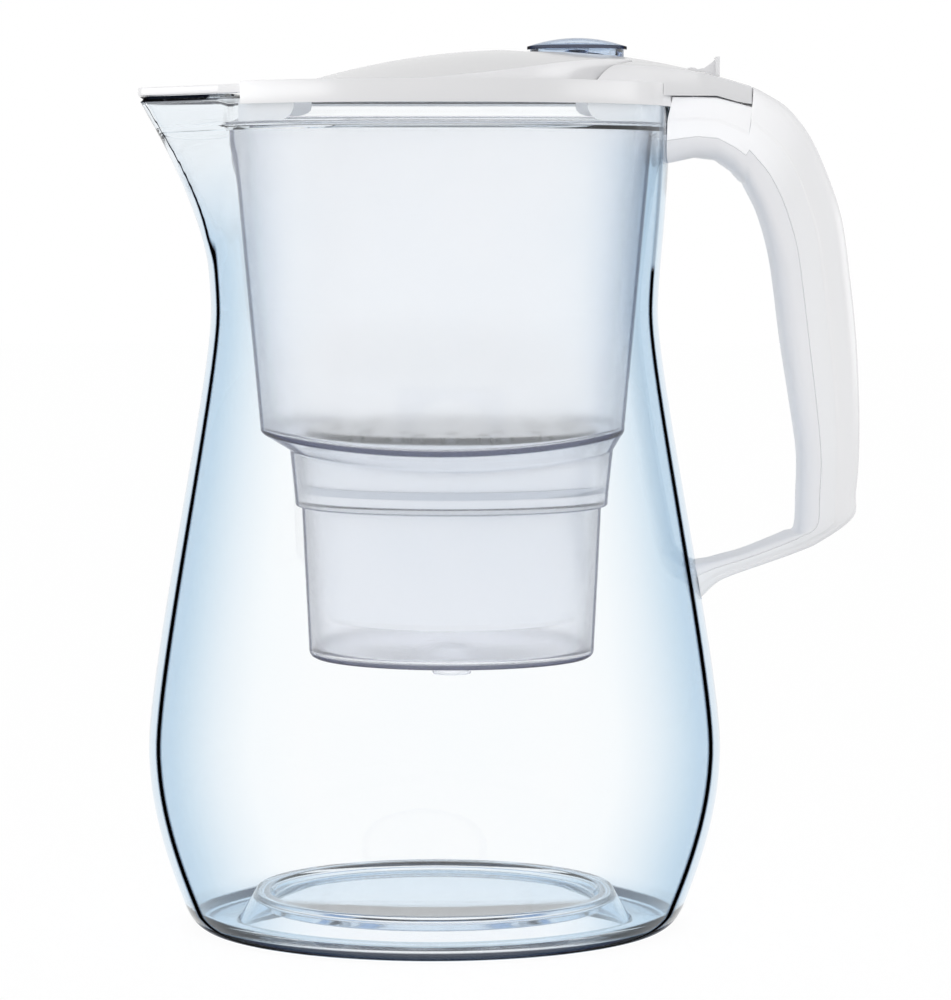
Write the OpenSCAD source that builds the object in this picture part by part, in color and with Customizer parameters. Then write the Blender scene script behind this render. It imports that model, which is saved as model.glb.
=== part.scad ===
// Water filter pitcher with a flip lid: a clear jug with a white handle, a frosted hopper that
// holds a filter cartridge, and a lid with a filling hatch, a spout flap and a reminder dial.
// Millimetres. The origin is on the jug's axis at the surface it stands on; +Z is up,
// the spout points to -X and the handle to +X.

/* [Jug] */
// Height of the jug's rim
jug_h = 258.8; // [250:0.1:270]
// Largest outer radius of the body
bulge_r = 89.6; // [86:0.1:92]
// Height of the largest radius
bulge_z = 56; // [50:1:60]
// Outer radius of the waist
waist_r = 69.7; // [69:0.1:71]
// Height of the waist
waist_z = 192; // [186:1:196]
// Outer radius of the mouth
mouth_r = 73.3; // [73:0.1:74.5]
// Wall thickness of the jug
jug_wall = 2.4; // [2:0.1:2.6]
// Outer radius of the ring that the jug stands on
foot_r = 71.5; // [69:0.1:73]
// Inner radius of the ring that the jug stands on
foot_inner_r = 60.6; // [58:0.1:63]
// Height of the raised ring inside the base
base_ring_h = 11.5; // [9:0.1:14]
// Height of the floor inside the raised ring
base_floor_h = 8.5; // [7:0.1:9]
// Width of the step under the rim that carries the hopper
ledge_w = 1.4; // [1.2:0.1:1.8]
// Depth of that step below the rim
ledge_drop = 9.9; // [9:0.1:11]

/* [Spout] */
// How far the spout's tip stands out from the body
spout_out = 19.2; // [16:0.1:22]
// Height where the spout begins
spout_z = 205; // [200:1:212]
// Radius of the spout's nose, seen from above
nose_r = 8; // [6:0.5:11]
// How sharply the spout flares: 1 is straight
spout_flare = 1.65; // [1.3:0.05:2]

/* [Handle] */
// Reach of the handle from the jug's axis
handle_reach = 132.1; // [128:0.1:136]
// Height of the handle's foot on the jug
foot_z = 108; // [104:0.5:112]
// Width of the handle at the grip
grip_w = 27; // [25:0.5:29]
// Width of the handle's root under the lid
root_w = 30; // [29:0.5:31]
// Width of the lower arm
arm_w = 22; // [20:0.5:24]
// Wall thickness of the handle's shell
handle_wall = 2.2; // [2:0.1:2.4]
// Share of the handle's depth that the outer shell takes
shell_share = 0.66; // [0.62:0.01:0.7]
// Radius of the handle's rounded edges
handle_round = 5; // [3:0.5:5.5]
// Radius of a handle screw's shank
screw_r = 1.5; // [1.3:0.1:1.6]
// Radius of a handle screw's head
screw_head_r = 2.7; // [2.5:0.1:3]
// Length of a handle screw's shank
screw_len = 9.5; // [8:0.5:10]

/* [Hopper] */
// Radius of the hopper's wall below its flange
hopper_top_r = 65.5; // [64:0.1:66]
// Radius of the hopper's wall at its bottom corner
hopper_bottom_r = 56.4; // [55.5:0.1:57]
// Offset of the hopper from the jug's axis
hopper_x = 2.5; // [2:0.1:3]
// Height of the hopper's bottom corner at its sides
hopper_bottom_z = 154.8; // [153:0.1:157]
// How far the bottom edge dips between its ends
hopper_dip = 4.4; // [3.5:0.1:5.5]
// Wall thickness of the hopper
hopper_wall = 1.8; // [1.5:0.1:2]
// Thickness of the hopper's flange
flange_t = 1.2; // [1:0.1:1.3]
// Distance from the jug's axis to the flange's straight front
flange_front = 63.2; // [62.5:0.1:64.5]
// Offset of the cartridge well from the jug's axis
well_x = 5.3; // [5:0.1:5.6]
// Radius of the well's upper part
well_top_r = 50.3; // [49.8:0.1:50.6]
// Height of the step in the well
well_step_z = 131.5; // [130:0.1:133]
// Radius of the well's lower part at its top
well_low_r = 46.9; // [46.4:0.1:47.2]
// Radius of the well at its floor
well_floor_r = 44.7; // [44.2:0.1:45]
// Height of the well's underside
well_floor_z = 84; // [82:0.1:86]
// Outer radius of the outlet nozzle
nozzle_r = 6.1; // [5.5:0.1:7]
// Length of the outlet nozzle
nozzle_len = 5.5; // [4.5:0.1:6.5]

/* [Cartridge] */
// Height of the cartridge's underside
cartridge_z = 95.5; // [93:0.1:98]
// Radius of the cartridge at its underside
cartridge_low_r = 40.5; // [39.5:0.1:41.5]
// Height of the cartridge's shell
cartridge_h = 57; // [55:0.1:59]
// Wall thickness of the cartridge
cartridge_wall = 1.5; // [1.2:0.1:1.7]
// Width of the pull grip
pull_w = 34; // [30:1:40]
// Height of the pull grip above the cap
pull_h = 12; // [10:0.5:14]
// Thickness of a mesh screen
screen_t = 0.8; // [0.6:0.1:1]
// Thickness of the seal ring's section
seal_t = 2.4; // [2.2:0.1:2.6]

/* [Lid] */
// Height of the lid's rim
rim_h = 6.9; // [6.5:0.1:8]
// How far the rim hangs down past the jug's rim
rim_over = 3.3; // [2.8:0.1:4]
// Thickness of the rim outside the jug
rim_t = 0.9; // [0.8:0.1:1.2]
// Thickness of the lid's deck
deck_t = 2; // [1.8:0.1:2.4]
// Distance from the jug's axis to the lid's front edge
lid_front = 57.9; // [57:0.1:58.5]
// Thickness of the ears that reach into the jug
ear_t = 1.8; // [1.5:0.1:2.2]
// Radius of the ears' lower corners
ear_round = 4.7; // [3:0.1:5.5]

/* [Hatch] */
// Height of the dome's highest point above the jug's rim
dome_h = 14.6; // [14:0.1:16]
// Distance of the dome's highest point behind the jug's axis
dome_x = 27; // [24:0.5:30]
// Radius of the dome, from front to back
dome_long_r = 230; // [220:5:240]
// Radius of the dome, from side to side
dome_cross_r = 153; // [145:1:160]
// Radius of the hatch's front
hatch_r = 50; // [48:0.5:51]
// Distance of the hatch's front circle behind the jug's axis
hatch_x = 6; // [5:0.5:7]
// Half width of the hatch at its hinge
hinge_half_w = 12; // [11:0.5:12.5]
// Distance from the jug's axis to the hatch's hinge
hinge_x = 79.5; // [79:0.1:80]
// Radius of the hinge barrel
barrel_r = 3; // [2.8:0.1:3.1]
// Radius of the hinge pin
hinge_pin_r = 1.3; // [1.1:0.1:1.4]
// Length of the hatch's parallel neck in front of its hinge
neck = 8; // [7:0.5:10]
// Wall thickness of the hatch and the tail
shell_t = 2; // [1.7:0.1:2.2]
// Width of the thumb tab
tab_w = 10; // [8:0.5:10.5]
// Height of the thumb tab above the hinge
tab_h = 6.6; // [5.5:0.1:7]

/* [Tail] */
// Width of the wall that runs beside the hatch
tail_side = 5.5; // [5:0.1:6]
// Distance from the jug's axis to the tail's end
tail_end = 97.8; // [97:0.1:97.9]
// Distance from the jug's axis to the front of the tail's arms
tail_front = 48.4; // [46:0.1:52]

/* [Spout flap] */
// Thickness of the flap
flap_t = 2.5; // [2.3:0.1:2.7]
// Half width of the flap's hinge
flap_half_w = 36; // [34:0.5:36.5]
// Radius of the flap's pin
flap_pin_r = 0.6; // [0.5:0.05:0.7]

/* [Dial] */
// Distance from the jug's axis to the dial's axis
dial_x = 44.35; // [43:0.1:46]
// Radius of the dial's rim
dial_r = 15.55; // [14.5:0.05:16]
// Height of the dial's rim above the jug's rim
dial_rim_z = 15.6; // [15.2:0.1:16]
// Height of the lens above its rim
lens_h = 2.7; // [2.3:0.1:3.2]
// Thickness of the dial's rim
dial_rim_t = 0.9; // [0.7:0.1:1.1]
// Wall thickness of the dial
dial_wall = 1.2; // [1:0.1:1.4]
// Radius of the dial's spindle
spindle_r = 2.4; // [2.1:0.1:2.7]

/* [Clearances] */
// Gap between parts that move past each other
gap = 0.3; // [0.25:0.01:0.35]
// Gap between the hatch and the tail
hatch_gap = 0.65; // [0.6:0.05:0.8]
// Gap between the handle and the jug's wall
seat_gap = 0.2; // [0.15:0.01:0.3]
// Running clearance of a pin in its bore
pin_fit = 0.05; // [0.03:0.01:0.08]

/* [Hidden] */
$fn = 96;
over = 1;               // how far a cutter runs past what it cuts
big = 400;
clear_blue = [0.80, 0.89, 0.96, 0.35];
frosted = [0.90, 0.91, 0.94, 0.75];
white = [0.95, 0.95, 0.96];

steps = 10;             // straight pieces in one curve of an outline
ledge_z = jug_h - ledge_drop;
mouth_in_r = mouth_r - jug_wall + 0.6;
ledge_in_r = mouth_in_r - ledge_w;
deck_top = jug_h - rim_over + rim_h;
deck_low = deck_top - deck_t;
rim_in_r = mouth_r + gap;
rim_r = rim_in_r + rim_t;
nose_d = mouth_r + spout_out - nose_r;
dome_top = jug_h + dome_h;
hinge_z = dome_top - 8.8;
hatch_z = deck_top + gap;
flap_z = jug_h + gap;
flap_pin_x = -lid_front - gap - flap_t / 2;
flap_pin_z = flap_z + flap_t / 2;
dial_rim = jug_h + dial_rim_z;
dial_seat_z = dial_rim - 3.5;
root_top = jug_h - gap;
screw_x = mouth_r + 4.4;
screw_y = 8.4;
lug_top = root_top - handle_wall - gap;
lug_low = jug_h - 9.9;
lug_w = root_w - 2 * handle_wall - 2;
rim_low = deck_top - rim_h;

function bez(a, b, c, d, t) = a * (1 - t) ^ 3 + 3 * b * (1 - t) ^ 2 * t + 3 * c * (1 - t) * t ^ 2 + d * t ^ 3;
function curve(a, b, c, d) = [for (i = [0 : steps]) bez(a, b, c, d, i / steps)];
function tail_of(list) = [for (i = [1 : len(list) - 1]) list[i]];
function reversed(list) = [for (i = [len(list) - 1 : -1 : 0]) list[i]];

// ---- Jug ----

corner_top = [foot_r + 6.9, 6.5];
corner_slope = 0.4;
function body_side() = concat(
  curve([foot_r, 0], [foot_r + 3.5, 0], [corner_top[0] - 0.4 * 2.5, 4], corner_top),
  tail_of(curve(corner_top, corner_top + [corner_slope * 15, 15], [bulge_r, bulge_z - 18], [bulge_r, bulge_z])),
  tail_of(curve([bulge_r, bulge_z], [bulge_r, bulge_z + 25], [waist_r, waist_z - 20], [waist_r, waist_z])),
  tail_of(curve([waist_r, waist_z], [waist_r, waist_z + 14], [mouth_r - 0.1, waist_z + 33], [mouth_r, jug_h])));

// The same side moved in by the wall, from the inner corner up to the step under the rim
function inner_side() = concat(
  [[foot_r - 1.5, jug_wall + 0.2]],
  [for (p = body_side()) if (p[1] > 14 && p[1] < ledge_z - 16) p - [jug_wall, 0]],
  [[ledge_in_r, ledge_z - 8], [ledge_in_r, ledge_z], [mouth_in_r, ledge_z]]);

ring_in = foot_inner_r - 8.8;
module jug_outer_outline() {
  polygon(concat(
    [[0, base_floor_h - jug_wall], [ring_in, base_floor_h - jug_wall], [ring_in + 1.4, base_ring_h - jug_wall],
     [ring_in + 3.2, base_ring_h - jug_wall], [foot_inner_r, 0]],
    body_side(), [[0, jug_h]]));
}
module jug_inner_outline() {
  polygon(concat(
    [[0, base_floor_h], [ring_in - 1.4, base_floor_h], [ring_in + 0.2, base_ring_h],
     [ring_in + 4.4, base_ring_h], [foot_inner_r + 1, jug_wall + 0.2]],
    inner_side(), [[mouth_in_r, jug_h + over], [0, jug_h + over]]));
}
module jug_outer() {
  rotate_extrude() jug_outer_outline();
}

// Radius of the body at a height near the spout
function body_r(z) = lookup(z, [for (p = body_side()) [p[1], p[0]]]);
function flare(z) = max(0, (z - spout_z) / (jug_h - spout_z));
function tip_out(z) = spout_out * flare(z) ^ spout_flare;
function nose_at(z) = nose_r + (mouth_r - nose_r) * (1 - flare(z)) ^ 1.5;

// Distance from the axis to the rim of two joined circles, radius R round the axis and r at distance d
function egg(R, r, d, a) = let (
    side = acos(min(1, (R - r) / max(d, R - r, 0.01))),
    nose = atan2(r * sin(side), d + r * cos(side)),
    q = abs(a))
  q < nose ? d * cos(q) + sqrt(max(0, r * r - (d * sin(q)) ^ 2)) : q < side ? R / cos(q - side) : R;

spout_angles = [for (i = [-14 : 14]) 66 * sign(i) * (abs(i) / 14) ^ 1.5];
module spout_solid(inset, top) {
  levels = [for (i = [0 : 11]) spout_z - 3 + (jug_h - spout_z + 3) * i / 11];
  n = len(spout_angles);
  rows = len(levels);
  points = [for (k = [0 : rows - 1]) let (
      z = levels[k],
      R = body_r(z) - inset,
      r = min(R, nose_at(z) - inset),
      d = body_r(z) + tip_out(z) - 0.05 - inset - r)
    for (a = spout_angles) let (p = egg(R, r, d, a))
      [-p * cos(a), -p * sin(a), k == rows - 1 ? top : z]];
  polyhedron(points, concat(
    [[for (i = [0 : n - 1]) i]],
    [for (k = [0 : rows - 2]) for (i = [0 : n - 1]) let (j = (i + 1) % n) [k * n + i, (k + 1) * n + i, (k + 1) * n + j]],
    [for (k = [0 : rows - 2]) for (i = [0 : n - 1]) let (j = (i + 1) % n) [k * n + i, (k + 1) * n + j, k * n + j]],
    [[for (i = [n - 1 : -1 : 0]) (rows - 1) * n + i]]));
}

// Lug inside the foot of the handle's lower arm, grown by out
foot_x = body_r(foot_z);
foot_lug_t = 3.6;
module foot_lug(out) {
  translate([foot_x - jug_wall, 6 - arm_w / 2 - out, foot_z - 0.8 - out])
    cube([jug_wall + 2.8 + out, arm_w - 12 + 2 * out, foot_lug_t + 2 * out]);
}

module jug_body() {
  color(clear_blue) difference() {
    union() {
      jug_outer();
      spout_solid(0.03, jug_h);
      // lug inside the handle's root, bored for its screws
      difference() {
        translate([waist_r, -lug_w / 2, lug_low])
          cube([screw_x + 4 - waist_r, lug_w, lug_top - lug_low]);
        for (s = [-1, 1]) translate([screw_x, s * screw_y, root_top - screw_len - 0.3])
          cylinder(r = screw_r + pin_fit, h = screw_len + over);
        translate([0, 0, rim_low - gap]) cylinder(r = rim_r + gap, h = big);
      }
      foot_lug(0);
    }
    rotate_extrude() jug_inner_outline();
    spout_solid(jug_wall, jug_h + over);
  }
}

// ---- Handle ----
// Each station is [outer x, outer z, inner x, inner z, half width, roof].
hx = handle_reach;
hw = grip_w / 2;
aw = arm_w / 2;
te = tail_end;
root_stations = [
  [mouth_r - 1.8, root_top, mouth_r - 1.8, jug_h - 20.6, root_w / 2, handle_wall],
  [mouth_r + 7.5, root_top, mouth_r + 7.9, jug_h - 18.7, root_w / 2, handle_wall],
  [te - 10.7, root_top - 0.2, te - 10.1, jug_h - 19.5, root_w / 2, handle_wall],
  [te - 4.5, root_top - 1.8, te - 5.1, jug_h - 23.0, root_w / 2, handle_wall],
  [te + 0.2, root_top - 3.2, te - 2.6, jug_h - 25.9, root_w / 2, handle_wall]];
grip_stations = [
  [te + 0.75, jug_h + 2.8, te - 1.5, jug_h - 26.5, root_w / 2, 7.6],
  [hx - 30.0, jug_h + 1.0, hx - 34.8, jug_h - 28.6, root_w / 2, 4],
  [hx - 22.6, jug_h - 3.8, hx - 31.8, jug_h - 34.5, hw + 1.2, handle_wall],
  [hx - 15.6, jug_h - 12.8, hx - 29.6, jug_h - 40.8, hw + 0.8, handle_wall],
  [hx - 10.1, jug_h - 24.8, hx - 28.0, jug_h - 46.9, hw + 0.5, handle_wall],
  [hx - 5.8, jug_h - 38.0, hx - 26.9, jug_h - 52.6, hw + 0.3, handle_wall],
  [hx - 3.3, jug_h - 54.8, hx - 25.8, jug_h - 60.5, hw, handle_wall],
  [hx - 1.2, jug_h - 73.8, hx - 23.8, jug_h - 76.0, hw, handle_wall],
  [hx - 0.1, jug_h - 93.8, hx - 20.8, jug_h - 94.8, hw, handle_wall],
  [hx, foot_z + 40, hx - 18.5, foot_z + 40, hw, handle_wall],
  [hx - 0.9, foot_z + 28, hx - 18.6, foot_z + 26.5, hw - 0.3, handle_wall],
  [hx - 1.7, foot_z + 20.3, hx - 19.2, foot_z + 16.6, hw - 0.6, handle_wall],
  [hx - 11.6, foot_z + 13, hx - 22.2, foot_z + 14.9, hw - 1.2, handle_wall],
  [hx - 19.1, foot_z + 9.5, hx - 26.0, foot_z + 13.2, aw + 0.5, handle_wall],
  [hx - 33.2, foot_z + 4.5, hx - 35.2, foot_z + 9.5, aw, 1.8],
  [foot_x + 9.2, foot_z + 2, foot_x + 7.3, foot_z + 7.6, aw, 1.8],
  [foot_x + 4.8, foot_z - 0.3, foot_x + 3, foot_z + 6.5, aw, 1.8],
  [foot_x - 0.3, foot_z - 5.4, foot_x - 2.3, foot_z + 5.8, aw, 1.8]];

function spline(a, b, c, d, t) = 0.5 * (2 * b + (c - a) * t + (2 * a - 5 * b + 4 * c - d) * t ^ 2
  + (3 * b - a - 3 * c + d) * t ^ 3);
function smooth(list) = let (n = len(list)) concat(
  [for (i = [0 : n - 2]) for (k = [0 : 1])
    spline(list[max(0, i - 1)], list[i], list[i + 1], list[min(n - 1, i + 2)], k / 2)],
  [list[n - 1]]);
handle_rings = concat(root_stations, smooth(grip_stations));

// A point of a ring: a is the depth from its outer side, v is across
function on_ring(s, a, v) = let (
    depth = norm([s[2] - s[0], s[3] - s[1]]),
    t = a / depth)
  [s[0] + (s[2] - s[0]) * t, v, s[1] + (s[3] - s[1]) * t];
function ring_depth(s) = norm([s[2] - s[0], s[3] - s[1]]);
corner_steps = [0, 30, 60, 90];
function frame_ring(s) = let (
    w = s[4], r = min(handle_round, 0.45 * shell_share * ring_depth(s) + 1), e = shell_share * ring_depth(s),
    roof = min(s[5], e - 1))
  concat(
    [on_ring(s, e, -w)],
    [for (q = corner_steps) on_ring(s, r - r * sin(q), -w + r - r * cos(q))],
    [for (q = reversed(corner_steps)) on_ring(s, r - r * sin(q), w - r + r * cos(q))],
    [on_ring(s, e, w), on_ring(s, e, w - handle_wall), on_ring(s, roof, w - handle_wall),
     on_ring(s, roof, handle_wall - w), on_ring(s, e, handle_wall - w)]);
function grip_ring(s) = let (
    w = s[4], e = shell_share * ring_depth(s), full = ring_depth(s), r = min(handle_round, full - e - 0.9),
    n = w - handle_wall - 0.1, lip = min(2, e - s[5] - 0.3))
  concat(
    [on_ring(s, e, w)],
    [for (q = corner_steps) on_ring(s, full - r + r * sin(q), w - r + r * cos(q))],
    [for (q = reversed(corner_steps)) on_ring(s, full - r + r * sin(q), r - w - r * cos(q))],
    [on_ring(s, e, -w), on_ring(s, e, -n), on_ring(s, e - lip, -n), on_ring(s, e - lip, n), on_ring(s, e, n)]);

module tube(rings, caps) {
  n = len(rings[0]);
  m = len(rings);
  points = [for (r = rings) for (p = r) p];
  polyhedron(points, concat(
    [for (c = caps) reversed(c)],
    [for (k = [0 : m - 2]) for (i = [0 : n - 1]) let (j = (i + 1) % n) [k * n + i, (k + 1) * n + j, (k + 1) * n + i]],
    [for (k = [0 : m - 2]) for (i = [0 : n - 1]) let (j = (i + 1) % n) [k * n + i, k * n + j, (k + 1) * n + j]],
    [for (c = caps) [for (i = c) (m - 1) * n + i]]));
}

// The jug's wall, which the handle's ends are cut to
module jug_seat() {
  low = foot_z - 18;
  rotate_extrude() polygon(concat([[0, low]], [for (p = body_side()) if (p[1] > low) p + [seat_gap, 0]], [[0, jug_h]]));
}

module handle_frame() {
  color(white) difference() {
    tube([for (s = handle_rings) frame_ring(s)],
      [[0, 1, 12, 13], [1, 2, 12], [2, 3, 12], [3, 4, 12], [4, 5, 11, 12], [5, 6, 11], [6, 7, 11], [7, 8, 11],
       [8, 9, 10, 11]]);
    jug_seat();
    foot_lug(0.15);
    // room for the lid's rim, and for the thumb tab when the hatch opens
    translate([0, 0, rim_low - gap]) cylinder(r = rim_r + gap, h = big);
    translate([hinge_x - 1, -tab_w / 2 - 1.2, root_top - handle_wall - 3]) cube([12.6, tab_w + 2.4, 9]);
    for (s = [-1, 1]) translate([screw_x, s * screw_y, root_top - handle_wall - over])
      cylinder(r = screw_r + pin_fit, h = handle_wall + 2 * over);
  }
}

module handle_grip() {
  color(white) difference() {
    tube([for (s = handle_rings) grip_ring(s)],
      [[4, 5, 6, 7, 8, 9, 10, 13, 0, 1, 2, 3], [10, 11, 12, 13]]);
    jug_seat();
    foot_lug(0.15);
  }
}

module handle_screws() {
  color("silver") for (s = [-1, 1]) translate([screw_x, s * screw_y, root_top]) {
    translate([0, 0, 0.2 - screw_len]) cylinder(r = screw_r, h = screw_len);
    difference() {
      cylinder(r1 = screw_head_r, r2 = 0.7 * screw_head_r, h = 1.7);
      translate([0, 0, 1.2]) rotate([0, 0, 45]) translate([-big / 2, -0.4, 0]) cube([big, 0.8, over]);
    }
  }
}

// ---- Hopper ----

flange_r = mouth_in_r - gap;
hopper_slope = (hopper_top_r - hopper_bottom_r) / (ledge_z - hopper_bottom_z);
dip_low = hopper_bottom_z - hopper_dip;
dish_low = dip_low - 5.9;
dish_dip = 5.6;

// A bar of round section across the pitcher, whose lowest line is at z
module saddle(x, z, half, rise) {
  r = half ^ 2 / (2 * rise) + rise / 2;
  translate([x, 0, z + r]) rotate([90, 0, 0]) cylinder(r = r, h = 2 * big, center = true, $fn = 360);
}

module hopper_shape(t) {
  floor_z = well_floor_z + t;
  intersection() {
    translate([hopper_x, 0, 0]) cylinder(h = ledge_z + (t > 0 ? 2 * flange_t : 0),
      r1 = hopper_top_r - hopper_slope * ledge_z - t, r2 = hopper_top_r - t + (t > 0 ? 2 * flange_t * hopper_slope : 0));
    union() {
      saddle(hopper_x, dip_low + t, hopper_bottom_r, hopper_dip);
      intersection() {
        translate([well_x, 0, dish_low + t]) cylinder(h = 20, r1 = well_top_r - 1 - t / 2, r2 = well_top_r + 24);
        saddle(well_x, dish_low + t, well_top_r, dish_dip);
      }
    }
  }
  translate([well_x, 0, well_step_z + (t > 0 ? t : 0)])
    cylinder(h = hopper_bottom_z - well_step_z, r1 = well_top_r - 1.5 - t, r2 = well_top_r - t);
  translate([well_x, 0, 0]) rotate_extrude() polygon([[0, floor_z], [well_floor_r - 2.4 - t, floor_z],
    [well_floor_r - 0.6 - t, floor_z + 0.9], [well_floor_r - t, floor_z + 2.6],
    [well_low_r - t, well_step_z + t + (t > 0 ? over : 0)], [0, well_step_z + t + (t > 0 ? over : 0)]]);
}

module hopper() {
  color(frosted) difference() {
    union() {
      hopper_shape(0);
      translate([0, 0, ledge_z]) intersection() {
        cylinder(r = flange_r, h = flange_t);
        translate([-flange_front, -big / 2, 0]) cube([big, big, flange_t]);
      }
      translate([well_x, 0, well_floor_z - nozzle_len]) cylinder(r = nozzle_r, h = nozzle_len + over);
    }
    hopper_shape(hopper_wall);
    translate([well_x, 0, well_floor_z - nozzle_len - over]) cylinder(r = nozzle_r - 1.5, h = nozzle_len + 10);
  }
}

// ---- Cartridge ----

cart_seat = well_step_z + hopper_wall;
cart_top = cartridge_z + cartridge_h;
cart_low_top = well_low_r - hopper_wall - 0.6;
cart_up_r = well_top_r - 1.5 - hopper_wall - 0.6;
seal_z = cart_seat + 4;
cap_t = 2.2;
bed_low = cartridge_z + cartridge_wall + screen_t;
bed_high = cart_top - 2.5 - screen_t;
cap_low = cart_top - 2.5;

module cart_round(points) {
  translate([well_x, 0, 0]) rotate_extrude() polygon(points);
}
module outlet_holes(z, h) {
  for (i = [0 : 5]) rotate([0, 0, 60 * i]) translate([cartridge_low_r * 0.45, 0, z]) cylinder(r = 5, h = h);
}

module cartridge_shell() {
  w = cartridge_wall;
  color(white) difference() {
    cart_round([[0, cartridge_z], [cartridge_low_r - 2, cartridge_z], [cartridge_low_r, cartridge_z + 2],
      [cart_low_top, cart_seat], [cart_up_r, cart_seat], [cart_up_r, seal_z - seal_t / 2],
      [cart_up_r - 1, seal_z - seal_t / 2], [cart_up_r - 1, seal_z + seal_t / 2],
      [cart_up_r, seal_z + seal_t / 2], [cart_up_r, cart_top], [0, cart_top]]);
    cart_round([[0, cartridge_z + w], [cartridge_low_r - w - 1, cartridge_z + w],
      [cart_low_top - w, cart_seat + w], [cart_up_r - w - 1, cart_seat + w], [cart_up_r - w - 1, cap_low],
      [cart_up_r - w, cap_low], [cart_up_r - w, cart_top + over], [0, cart_top + over]]);
    translate([well_x, 0, 0]) outlet_holes(cartridge_z - over, w + 2 * over);
  }
}

// Inner radius of the cartridge's shell at a height in its lower part
function bed_r(z) = let (w = cartridge_wall, a = cartridge_low_r - w - 1, b = cart_low_top - w,
  k = (z - cartridge_z - w) / (cart_seat - cartridge_z)) min(b, a + (b - a) * k) - 0.1;

module lower_screen() {
  color("lightgray") translate([well_x, 0, cartridge_z + cartridge_wall])
    cylinder(r = bed_r(cartridge_z + cartridge_wall), h = screen_t);
}
module filter_media() {
  color("dimgray") cart_round([[0, bed_low], [bed_r(bed_low), bed_low], [bed_r(cart_seat + 1) , cart_seat + 1],
    [bed_r(cart_seat + 1), bed_high], [0, bed_high]]);
}
module upper_screen() {
  color("lightgray") translate([well_x, 0, bed_high]) cylinder(r = cart_up_r - cartridge_wall - 1.1, h = screen_t);
}

module cartridge_cap() {
  color(white) {
    difference() {
      translate([well_x, 0, cap_low]) union() {
        cylinder(r = cart_up_r - cartridge_wall - 0.1, h = cart_top - cap_low);
        translate([0, 0, cart_top - cap_low]) cylinder(r1 = cart_up_r, r2 = cart_up_r - 1, h = cap_t);
      }
      for (ring = [0 : 1]) for (i = [0 : 11])
        translate([well_x, 0, cap_low - over]) rotate([0, 0, 30 * i + 15 * ring])
        translate([cart_up_r * (0.62 + 0.18 * ring), 0, 0]) cylinder(r = 2.2, h = big / 40);
    }
    // pull grip: a low arch across the cap
    difference() {
      translate([well_x - pull_w / 2, -2, cart_top + cap_t]) cube([pull_w, 4, pull_h]);
      translate([well_x, 0, cart_top + cap_t - 4]) rotate([90, 0, 0]) cylinder(r = pull_h + 1, h = 10, center = true);
    }
  }
}

module cartridge_seal() {
  color("gainsboro") translate([well_x, 0, seal_z]) rotate_extrude()
    translate([cart_up_r - 0.95 + 0.35 * seal_t, 0]) square([0.7 * seal_t, seal_t - 0.1], center = true);
}

// ---- Lid ----

// The outline of the jug's rim seen from above, moved in by inset
module lip_plan(inset) {
  side = acos((mouth_r - nose_r) / nose_d);
  circle(r = mouth_r - inset);
  translate([-nose_d, 0]) circle(r = nose_r - inset);
  polygon([for (s = [-1, 1]) for (q = s < 0 ? [0, 1] : [1, 0]) let (r = (q > 0 ? nose_r : mouth_r) - inset)
    [-(q > 0 ? nose_d : 0) - r * cos(side), s * r * sin(side)]]);
}

// Which way the straight edge from the hatch's front circle to a point dx, dy from its centre faces
function facing(dx, dy) = let (a = atan2(dy, dx) + acos(hatch_r / norm([dx, dy]))) [cos(a), sin(a)];
hatch_edge = facing(hinge_x - neck - hatch_x, hinge_half_w);
tail_edge = facing(hinge_x - hatch_x, hinge_half_w);

// Front of the hatch round hatch_x, narrowing to its neck; grown outwards by out
module hatch_plan(out, back) {
  side = hinge_half_w + out;
  bend = hinge_x - neck + out * (1 - hatch_edge[1]) / hatch_edge[0];
  translate([hatch_x, 0]) circle(r = hatch_r + out);
  polygon(concat(
    [for (s = [-1, 1]) [back, s * side]],
    [[bend, side], [hatch_x + (hatch_r + out) * hatch_edge[0], (hatch_r + out) * hatch_edge[1]]],
    [[hatch_x + (hatch_r + out) * hatch_edge[0], -(hatch_r + out) * hatch_edge[1]], [bend, -side]]));
}

// The dome that the hatch and the tail share, moved in by inset
module dome(inset) {
  translate([dome_x, 0, dome_top - dome_long_r]) rotate([90, 0, 0]) rotate_extrude($fn = 360) intersection() {
    translate([dome_long_r - dome_cross_r, 0]) circle(r = dome_cross_r - inset, $fn = 360);
    translate([0, -80]) square([dome_long_r, 160]);
  }
}

// An ear seen from the side, between two distances along the pitcher
module ear(from, to, round_low, round_high) {
  low = ledge_z + flange_t + gap;
  translate([0, big / 2, 0]) rotate([90, 0, 0]) linear_extrude(big) {
    translate([from, low + ear_round]) square([to - from, deck_low - low - ear_round]);
    translate([from + (round_low ? ear_round : 0), low])
      square([to - from - (round_low ? ear_round : 0) - (round_high ? ear_round : 0), ear_round + over]);
    if (round_low) translate([from + ear_round, low + ear_round]) circle(r = ear_round);
    if (round_high) translate([to - ear_round, low + ear_round]) circle(r = ear_round);
  }
}

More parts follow.
